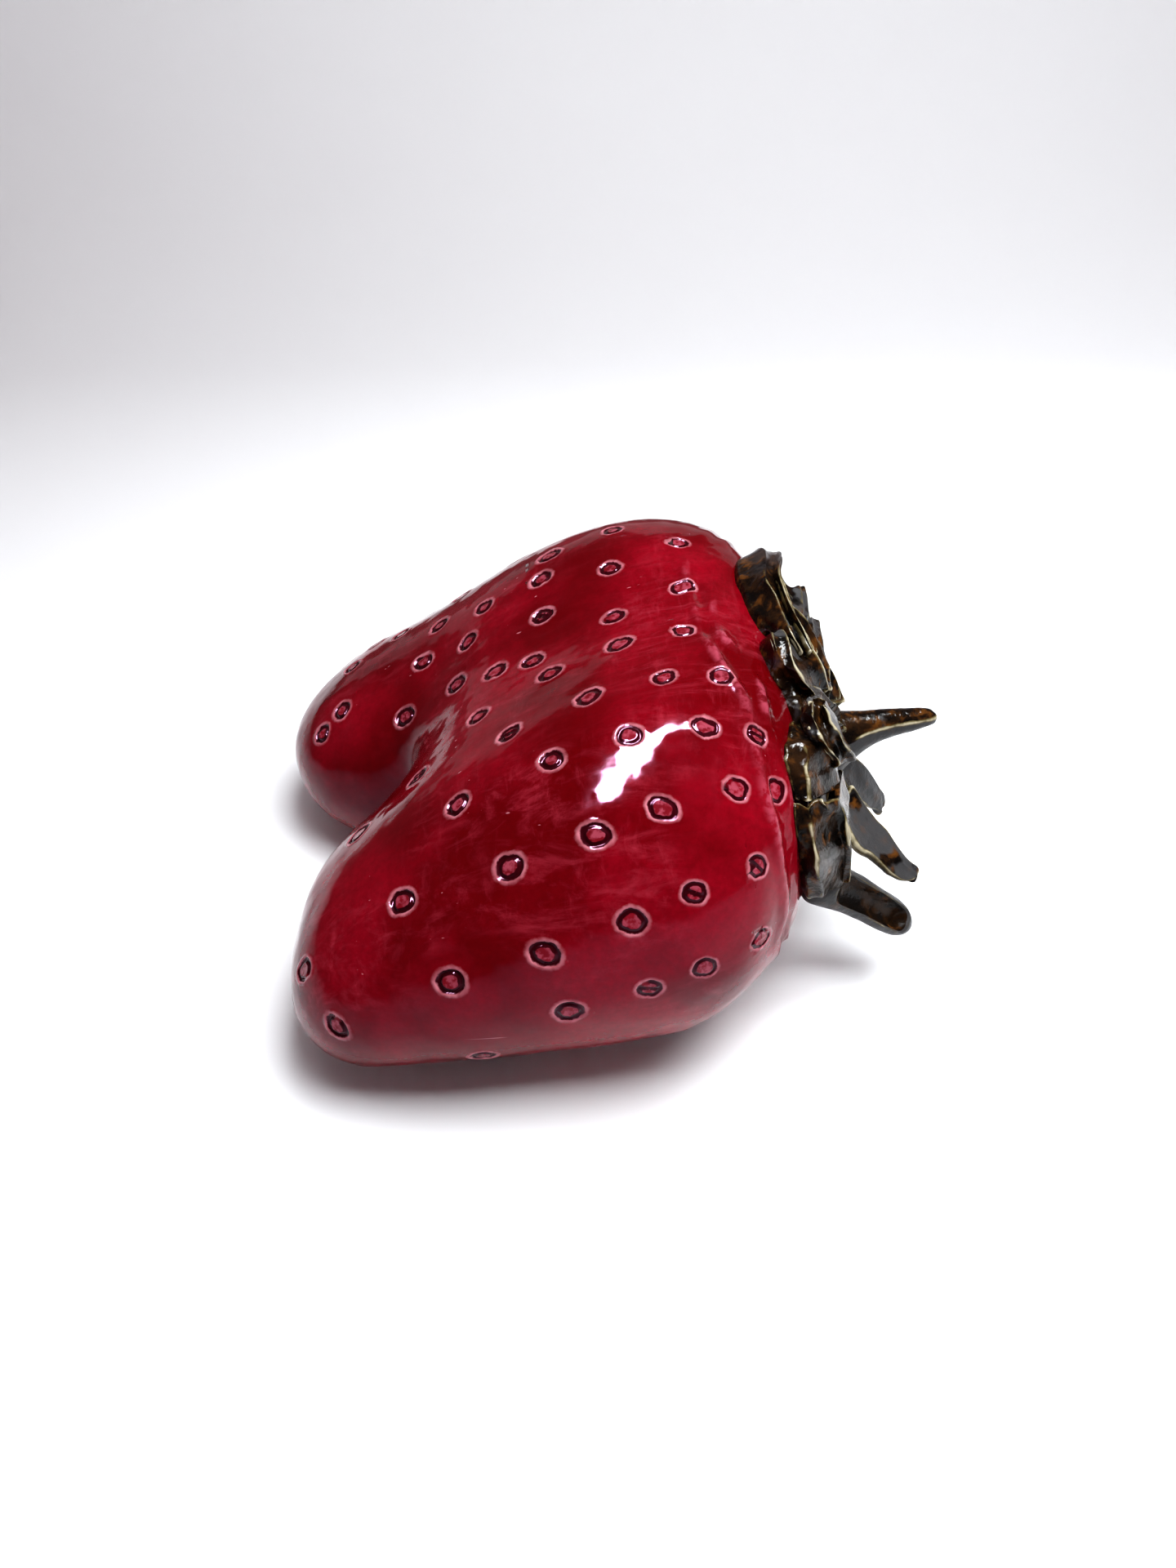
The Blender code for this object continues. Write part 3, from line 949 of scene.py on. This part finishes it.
make_plate("sepal_second_front", [
    [(54, -44, 11), (56, -48, 11), (56, -53, 12), (52, -57, 12), (48, -63, 13)],
    [(52, -44, 10), (51, -49, 10), (51, -53, 11), (47, -57, 12), (41, -64, 13)],
    [(52, -45, 13), (51, -49, 14), (50, -52, 15), (47, -57, 16), (36, -65, 17)],
    [(42, -40, 10), (42, -44, 11), (38, -48, 12), (34, -52, 12), (26, -56, 13)]],
    round_from=0.95)
make_plate("sepal_front_upper", [
    [(54, -47, 1), (60, -52, 1), (62, -56, 1), (63, -61, 1), (62, -67, 1)],
    [(55, -50, 5), (58, -54, 6), (60, -59, 6), (60, -63, 6), (61, -67, 6)],
    [(57, -50, 8), (54, -54, 10), (50, -59, 10), (47, -65, 11), (45, -71, 11)],
    [(46, -46, 8), (44, -50, 9), (40, -55, 10), (38, -61, 10), (36, -68, 10)]],
    round_from=0.94, painted_sheen=-0.3)
make_plate("sepal_front_lower", [
    [(63, -66, 1), (64, -71, 1), (63, -78, 1), (62, -85, 2), (60, -97, 3)],
    [(61, -67, 5), (62, -72, 6), (62, -77, 7), (62, -82, 8), (59, -97, 9)],
    [(59, -67, 10), (54, -73, 11), (51, -83, 12), (48, -97, 13), (49, -108, 14)],
    [(53, -68, 12), (52, -73, 14), (52, -80, 15), (48, -92, 15), (48, -105, 16)],
    [(40, -66, 12), (40, -74, 13), (40, -82, 13), (38, -92, 14), (38, -104, 14)]],
    round_from=0.96, painted_sheen=-0.25)
make_plate("sepal_splayed_long", [
    [(16, -117, 17), (22, -129, 24), (26, -131, 31), (30, -132, 37), (31, -133, 43)],
    [(23, -115, 14), (27, -121, 20), (30, -126, 27), (32, -128, 35), (33, -131, 42)],
    [(29, -106, 13), (34, -112, 17), (34, -118, 23), (35, -126, 31), (35, -130, 39)]],
    thickness=SLAB_THICKNESS, hollow=0.4, drop=0, rough=0.5, painted_sheen=0.12)
make_plate("sepal_splayed_small", [
    [(12, 178, 14), (20, 176, 20), (25, 174, 26), (30, 169, 34), (32, 167, 41)],
    [(10, 164, 14), (17, 166, 20), (22, 166, 27), (28, 165, 36), (32, 165, 42)],
    [(7, 145, 14), (12, 150, 20), (17, 156, 26), (26, 160, 37), (31, 162, 43)]],
    thickness=SLAB_THICKNESS, hollow=0.3, drop=0, rough=0.5, painted_sheen=0.2)

# %% [markdown]
# ## The bed
#
# Under the plates lies a low pad of clay, which shows only in gaps between them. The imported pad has
# the right outline, so it is made a little thicker and lumpy, rather than built anew.

# %% Finish the bed
BED_THICKER = 1.2
BED_LUMPS = 0.9

bed = merged_copy("calyx_pad", "clay_bed")
edit_all(bed)
pair_triangles()
leave_edit()
subdivide(bed, 2)
places = points_of(bed)
set_points(bed, places + normals_of(bed) * BED_THICKER)
finish_piece(bed, "calyx_pad", BED_LUMPS, 3)
print("bed faces:", len(bed.data.polygons))

# %% [markdown]
# ## The stem
#
# The stem is a roll of clay, wide at the foot where it was smeared on, and blunt at the tip. A
# curve with a bevel could do it; here a circle is extruded from place to place, which leaves plain
# rows of faces to press on later. A thin pale seam runs along the roll's front, with dark glaze
# above it and a slate grey painted in below it as a reflection.

# %% Roll the stem
ROLL_SIDES = 16
STEM_LUMPS = 0.2
SEAM_AT = 0.35
SEAM_WAVER = 0.6
SEAM_HALF = 0.75
SEAM_FADE = (98, 102)
SEAM_RISE = 0.35
SEAM_PALE = 0.5
STEM_LINE = [((88, -1, 64), 13.5), ((93, -1, 67.4), 11.6), ((97, -1, 69.4), 9.6),
             ((100.5, -1, 71.0), 8.0), ((104, -1, 72.5), 6.7), ((108, -1, 73.9), 5.7),
             ((113, -1, 75.2), 4.9), ((118, -1, 76.1), 4.3), ((123, -1, 76.9), 3.7),
             ((126, -1, 77.3), 3.2), ((127.3, -1, 77.5), 2.3), ((127.9, -1, 77.6), 1.0)]


def roll_of_clay(name, line):
    """A round roll drawn out along stations of (place, radius), closed at both ends."""
    way = (Vector(line[-1][0]) - Vector(line[0][0])).normalized()
    bpy.ops.mesh.primitive_circle_add(vertices=ROLL_SIDES, radius=line[0][1] * MM,
                                      fill_type="NOTHING", location=[v * MM for v in line[0][0]],
                                      rotation=way.to_track_quat("Z", "Y").to_euler())
    roll = bpy.context.object
    roll.name = name
    bpy.ops.object.transform_apply(location=True, rotation=True, scale=True)
    edit_all(roll)
    bpy.context.tool_settings.mesh_select_mode = (False, True, False)
    for (before, thick), (after, thin) in zip(line, line[1:]):
        step = [(b - a) * MM for a, b in zip(before, after)]
        bpy.ops.mesh.extrude_region_move(TRANSFORM_OT_translate={"value": step})
        shape = bmesh.from_edit_mesh(roll.data)
        centre = Vector(after) * MM
        for vertex in (vertex for vertex in shape.verts if vertex.select):
            vertex.co = centre + (vertex.co - centre) * (thin / thick)
        bmesh.update_edit_mesh(roll.data)
    bpy.ops.mesh.edge_face_add()
    select_where("edges", lambda edge: edge.is_boundary)
    bpy.ops.mesh.edge_face_add()
    bpy.ops.mesh.select_all(action="SELECT")
    bpy.ops.mesh.normals_make_consistent(inside=False)
    leave_edit()
    subdivide(roll, 3)
    return roll


def along_roll(places, line, way):
    """For each place: how far along the roll it is, and the centre and radius of the roll there."""
    stations = np.array([spot for spot, _ in line])
    reached = (stations - stations[0]) @ np.array(way)
    along = (places - stations[0]) @ np.array(way)
    centres = np.column_stack([np.interp(along, reached, stations[:, axis]) for axis in range(3)])
    return along, centres, np.interp(along, reached, [radius for _, radius in line])


stem = roll_of_clay("clay_stem", STEM_LINE)
places = points_of(stem)
_, centres, radius = along_roll(places, STEM_LINE, Vector((1, 0, 0)))
height = places[:, 2] - centres[:, 2] - SEAM_AT * radius - waviness(places, 12, 4) * SEAM_WAVER
seam = np.exp(-(height / SEAM_HALF) ** 2) * (places[:, 1] < -1)
seam = seam * smooth_step(places[:, 0], *SEAM_FADE)
set_points(stem, places + normals_of(stem) * (seam * SEAM_RISE)[:, None])
# Painted reflection: below the seam more grey is painted in than above it.
finish_piece(stem, "stem", STEM_LUMPS, 11,
             painted_sheen=0.2 - 0.35 * smooth_step(height, -1, 1), seam=seam * SEAM_PALE)
print("stem faces:", len(stem.data.polygons))

# %% [markdown]
# ## The rolled tongue
#
# The lowest sepal of the fan starts as a roll too. A thumb flattened it and pressed a trough into
# it, which stops short of the tip, so that its rim runs round the end like the rim of a spoon.
# Pushing the points along the thumb's way keeps that rim in one piece, where cutting the trough out
# would leave a hard edge.

# %% Press the rolled tongue
TONGUE_LINE = [((78, -54, 54), 8.4), ((84, -53, 50.5), 8.2), ((89, -51.5, 46.5), 7.6),
               ((95, -50.2, 41.8), 7.0), ((101, -49, 36.7), 6.7), ((106.5, -48, 32), 6.6),
               ((110.0, -47.2, 29.0), 6.3), ((112.8, -46.6, 26.6), 5.6),
               ((115.0, -46.2, 24.7), 4.4), ((116.3, -46, 23.5), 2.8), ((116.9, -46, 23.0), 1.2)]
TONGUE_LUMPS = 0.22
FLATTENED = 0.3
TROUGH_DEPTH = 5.2
TROUGH_SHARE = 0.72
TROUGH_FROM = 8
TROUGH_ENTRY = 8
TROUGH_SHORT_OF_TIP = 3.4
TROUGH_EXIT = 4
TOWARDS_THUMB = Vector((0.1, -0.72, 0.66))

tongue = roll_of_clay("clay_sepal_splayed_rolled", TONGUE_LINE)
way = (Vector(TONGUE_LINE[-1][0]) - Vector(TONGUE_LINE[0][0])).normalized()
face_way = (TOWARDS_THUMB - way * TOWARDS_THUMB.dot(way)).normalized()
side_way = way.cross(face_way)
places = points_of(tongue)
along, centres, radius = along_roll(places, TONGUE_LINE, way)
raised = (places - centres) @ np.array(face_way)
share = ((places - centres) @ np.array(side_way)) / np.maximum(radius, 1) / TROUGH_SHARE
tip = along.max()
trough = np.clip(1 - share ** 2, 0, 1) * smooth_step(raised, -0.5, 1.5)
trough *= smooth_step(along, TROUGH_FROM, TROUGH_FROM + TROUGH_ENTRY)
trough_end = tip - TROUGH_SHORT_OF_TIP
trough *= 1 - smooth_step(along, trough_end - TROUGH_EXIT, trough_end)
pressed = FLATTENED * raised + TROUGH_DEPTH * trough
set_points(tongue, places - np.array(face_way) * pressed[:, None])
# Painted reflection: the rim gets a painted grey; the trough, with much less, keeps its pooled black.
finish_piece(tongue, "sepal_splayed_rolled", TONGUE_LUMPS, 23,
             painted_sheen=0.25 - 1.3 * trough, seam=-0.06)
print("tongue faces:", len(tongue.data.polygons))

# %% [markdown]
# ## Building a glaze from nodes
#
# A glaze is a thin coat of coloured glass over clay. It pools dark where the clay is hollow, and it
# runs thin and pale over edges. Both come from numbers kept on the points, roughened by noise, so
# that the colour follows the carving. These small helpers wire the nodes.

# %% Node helpers


class Recipe:
    """A material's nodes, added one at a time and wired as they are made."""

    def __init__(self, name):
        self.material = bpy.data.materials.new(name)
        self.material.use_nodes = True
        self.tree = self.material.node_tree
        self.place = self.add("TexCoord", {}).outputs["Object"]

    def set_inputs(self, node, inputs):
        """Wire each input to another node's output, or set it to a value."""
        for name, value in inputs.items():
            if isinstance(value, bpy.types.NodeSocket):
                self.tree.links.new(value, node.inputs[name])
            else:
                node.inputs[name].default_value = value

    def add(self, kind, inputs, **settings):
        node = self.tree.nodes.new("ShaderNode" + kind)
        for name, value in settings.items():
            setattr(node, name, value)
        self.set_inputs(node, inputs)
        return node

    def noise(self, size, detail=3, rough=0.5, stretch=(1, 1, 1), turn=(0, 0, 0), warp=0.0):
        """Noise with patches about size millimetres across."""
        place = self.add("Mapping", {"Vector": self.place, "Scale": stretch, "Rotation": turn})
        texture = self.add("TexNoise", {"Vector": place.outputs["Vector"], "Scale": 1 / (size * MM),
                                        "Detail": detail, "Roughness": rough, "Distortion": warp})
        return texture.outputs["Fac"]

    def kept(self, name):
        """A number kept on the points."""
        return self.add("Attribute", {}, attribute_name=name).outputs["Fac"]

    def maths(self, operation, first, second):
        return self.add("Math", {0: first, 1: second}, operation=operation).outputs["Value"]

    def times(self, first, second):
        return self.maths("MULTIPLY", first, second)

    def plus(self, first, second):
        return self.maths("ADD", first, second)

    def ragged(self, size, detail, rough, swing):
        """Noise either side of zero, to fray an edge with."""
        return self.times(self.maths("SUBTRACT", self.noise(size, detail, rough), 0.5), swing)

    def ramp(self, value, low, high, start=0.0, end=1.0):
        """From start to end, smoothly, as value goes from low to high."""
        step = self.add("MapRange", {"Value": value, "From Min": low, "From Max": high,
                                     "To Min": start, "To Max": end},
                        interpolation_type="SMOOTHSTEP")
        return step.outputs["Result"]

    def mix(self, share, first, second):
        """Between two colours; share 1 is the second."""
        step = self.add("Mix", {"Factor": share, "A": first, "B": second}, data_type="RGBA")
        return step.outputs["Result"]

    def bump(self, height, distance, under=None):
        """Raise the surface by height times distance millimetres, in its shading."""
        inputs = {"Height": height, "Strength": 1.0, "Distance": distance * MM}
        if under:
            inputs["Normal"] = under
        return self.add("Bump", inputs).outputs["Normal"]

    def fire(self, inputs):
        """Wire the surface itself, and hand the finished material over."""
        self.set_inputs(self.tree.nodes["Principled BSDF"], inputs)
        print(self.material.name, "nodes:", len(self.tree.nodes))
        return self.material


# %% [markdown]
# ## Red glaze
#
# The red is brushed on in thin coats, so it is deeper in some places and a little pink and scrubby
# in others, with a few thin pale nicks. On the folds by the calyx it runs thin, and their crests are
# painted pink, partly as that thin glaze and partly as a painted highlight.
# In the carved rings it has run together almost black, on their lips it is so thin that the pale
# clay shows pink, and the island in the middle is half way between. Each is one more colour mixed
# over the last. A painted picture would stretch; noise in millimetres is as fine everywhere.

# %% Mix the red glaze
DEEP_RED = (0.100, 0.0003, 0.0020, 1)
BRIGHT_RED = (0.205, 0.0020, 0.0095, 1)
SHADED_RED = (0.075, 0.0003, 0.0016, 1)
SCRUBBED_PINK = (0.32, 0.030, 0.050, 1)
FOLD_PINK_AND_HIGHLIGHT = (0.36, 0.065, 0.10, 1)
POOLED_MAROON = (0.030, 0.0010, 0.0030, 1)
THIN_PINK = (0.44, 0.15, 0.18, 1)
ISLAND_PINK = (0.28, 0.050, 0.075, 1)


RED_IOR = 1.4
RED_SPECULAR = 0.26
RED_TINT = (1.0, 0.5, 0.8, 1)


def red_glaze():
    glaze = Recipe("red_glaze_gloss")
    # Two sets of brush marks cross, and show in wide patches only.
    broad = glaze.ramp(glaze.noise(42, 3), 0.36, 0.66)
    brushed = glaze.noise(9, 8, 0.7, stretch=(0.35, 1.6, 1.2), turn=(0.3, 0.2, 0.9), warp=0.6)
    crossed = glaze.noise(7, 7, 0.72, stretch=(1.5, 0.35, 1.1), turn=(0.1, 0.6, 0.4), warp=0.4)
    scrub = glaze.times(glaze.ramp(brushed, 0.46, 0.76), 0.5)
    scrub = glaze.plus(scrub, glaze.times(glaze.ramp(crossed, 0.5, 0.8), 0.4))
    scrub = glaze.times(scrub, glaze.ramp(glaze.noise(55, 2), 0.42, 0.62, 0.12, 1.0))
    colour = glaze.mix(broad, DEEP_RED, BRIGHT_RED)
    mottle = glaze.ramp(glaze.noise(2.4, 6, 0.75), 0.30, 0.70, 0.45, 0)
    colour = glaze.mix(mottle, colour, SHADED_RED)
    colour = glaze.mix(scrub, colour, SCRUBBED_PINK)
    nick = glaze.noise(3.2, 1, 0.4, stretch=(0.07, 2.2, 2.2), turn=(0.2, 0.3, 0.5))
    here = glaze.ramp(glaze.noise(24, 1), 0.54, 0.6)
    nick = glaze.times(glaze.ramp(nick, 0.76, 0.80, 0, 0.7), here)
    colour = glaze.mix(nick, colour, THIN_PINK)
    # Fold crests: pink of glaze run thin, and a painted highlight along them.
    crest = glaze.ramp(glaze.kept("fold_crest"), 0.5, 1.7, 0, 0.75)
    crest = glaze.times(crest, glaze.ramp(glaze.noise(4, 4, 0.6), 0.40, 0.60, 0.1, 1))
    colour = glaze.mix(crest, colour, FOLD_PINK_AND_HIGHLIGHT)

    # The rings: distances are from the groove's middle line, outwards.
    ring = glaze.plus(glaze.kept("ring_distance"), glaze.ragged(1.6, 3, 0.5, 1.5))
    groove = glaze.times(glaze.ramp(ring, 0.75, 1.3, 1, 0), glaze.ramp(ring, -1.8, -1.25))
    groove = glaze.times(groove, glaze.kept("ring_strength"))
    lip = glaze.times(glaze.ramp(ring, 1.4, 3.3, 1, 0), glaze.ramp(ring, 0.0, 0.6))
    lip = glaze.times(lip, glaze.ramp(glaze.noise(4, 2), 0.35, 0.65, 0.45, 0.95))
    island = glaze.ramp(ring, -1.6, -0.7, 1, 0)
    island = glaze.times(island, glaze.ramp(glaze.noise(1.8, 3), 0.40, 0.62, 0.1, 0.9))
    colour = glaze.mix(lip, colour, THIN_PINK)
    colour = glaze.mix(island, colour, ISLAND_PINK)
    colour = glaze.mix(groove, colour, POOLED_MAROON)

    # The glass is wavy where it flowed, and a little duller in the grooves.
    gloss = glaze.ramp(glaze.noise(5, 4), 0.3, 0.7, 0.05, 0.11)
    gloss = glaze.plus(gloss, glaze.times(groove, 0.06))
    flow = glaze.bump(glaze.noise(16, 2, 0.4), 0.9)
    flow = glaze.bump(glaze.noise(5, 2, 0.4), 0.035, under=flow)
    flow = glaze.bump(brushed, 0.007, under=flow)
    return glaze.fire({"Base Color": colour, "Roughness": gloss, "IOR": RED_IOR,
                       "Specular IOR Level": RED_SPECULAR, "Specular Tint": RED_TINT,
                       "Normal": flow})


skin.data.materials.append(red_glaze())

# %% [markdown]
# ## Brown glaze
#
# The calyx glaze is nearly black where it is thick, glows amber where it is half thick, and breaks
# to olive and cream on every crest and torn edge. In patches a slate grey is painted in as a
# reflection of the pale room, and the glaze there is made a little duller. The crests could be
# painted by hand, but how sharply the clay bulges is kept on its points already.

# %% Mix the brown glaze
POOLED_BLACK = (0.0035, 0.0027, 0.0022, 1)
DARK_BROWN = (0.022, 0.010, 0.004, 1)
SLATE_PAINTED_SHEEN = (0.050, 0.049, 0.050, 1)
AMBER = (0.13, 0.048, 0.009, 1)
OLIVE = (0.115, 0.088, 0.036, 1)
CREAM = (0.42, 0.37, 0.26, 1)


BROWN_IOR = 1.5
BROWN_SPECULAR = 0.12


def brown_glaze():
    glaze = Recipe("brown_glaze_gloss")
    depth = glaze.ramp(glaze.noise(8, 5, 0.65), 0.40, 0.62)
    # Painted reflection: patches of slate grey stand for the pale room mirrored in the glaze; the
    # same patches are a little rougher.
    dull_and_painted_sheen = glaze.plus(glaze.noise(13, 3, 0.5, stretch=(1, 1, 0.7)), glaze.kept("painted_sheen"))
    dull_and_painted_sheen = glaze.ramp(dull_and_painted_sheen, 0.52, 0.60, 0, 0.85)
    blotch = glaze.ramp(glaze.noise(4, 3, 0.5, warp=0.3), 0.52, 0.72, 0, 0.6)
    blotch = glaze.times(blotch, glaze.ramp(dull_and_painted_sheen, 0.0, 0.85, 1, 0.25))
    blotch = glaze.times(blotch, glaze.ramp(glaze.kept("painted_sheen"), -0.40, -0.31))
    crest = glaze.plus(glaze.kept("crest"), glaze.ragged(2.2, 4, 0.6, 0.5))
    colour = glaze.mix(depth, POOLED_BLACK, DARK_BROWN)
    colour = glaze.mix(dull_and_painted_sheen, colour, SLATE_PAINTED_SHEEN)
    colour = glaze.mix(blotch, colour, AMBER)
    colour = glaze.mix(glaze.ramp(crest, 0.16, 0.38, 0, 0.75), colour, OLIVE)
    colour = glaze.mix(glaze.ramp(crest, 0.34, 0.66, 0, 0.85), colour, CREAM)
    flow = glaze.bump(glaze.noise(4, 3, 0.5), 0.45)
    flow = glaze.bump(glaze.noise(1.4, 4, 0.6), 0.22, under=flow)
    return glaze.fire({"Base Color": colour, "Roughness": glaze.ramp(dull_and_painted_sheen, 0, 0.85, 0.12, 0.34),
                       "IOR": BROWN_IOR, "Specular IOR Level": BROWN_SPECULAR, "Normal": flow})


brown = brown_glaze()
for thing in bpy.data.objects:
    if thing.name.startswith("clay_"):
        thing.data.materials.append(brown)

# %% [markdown]
# ## Bare clay
#
# The wiped foot shows the fired clay: matt and buff, with dark specks of fine grog. It is the
# berry's second material, which the foot's faces already ask for, so no piece has to be cut off.

# %% Mix the bare clay
BUFF = (0.50, 0.36, 0.25, 1)
PALE_BUFF = (0.60, 0.46, 0.34, 1)
GROG = (0.22, 0.13, 0.08, 1)


def bare_clay():
    clay = Recipe("bare_clay")
    patch = clay.ramp(clay.noise(14, 4), 0.35, 0.65)
    speck = clay.ramp(clay.noise(0.9, 3, 0.7), 0.60, 0.68)
    colour = clay.mix(speck, clay.mix(patch, BUFF, PALE_BUFF), GROG)
    return clay.fire({"Base Color": colour, "Roughness": clay.ramp(patch, 0, 1, 0.75, 0.9),
                      "Normal": clay.bump(clay.noise(0.8, 4, 0.7), 0.08)})


skin.data.materials.append(bare_clay())
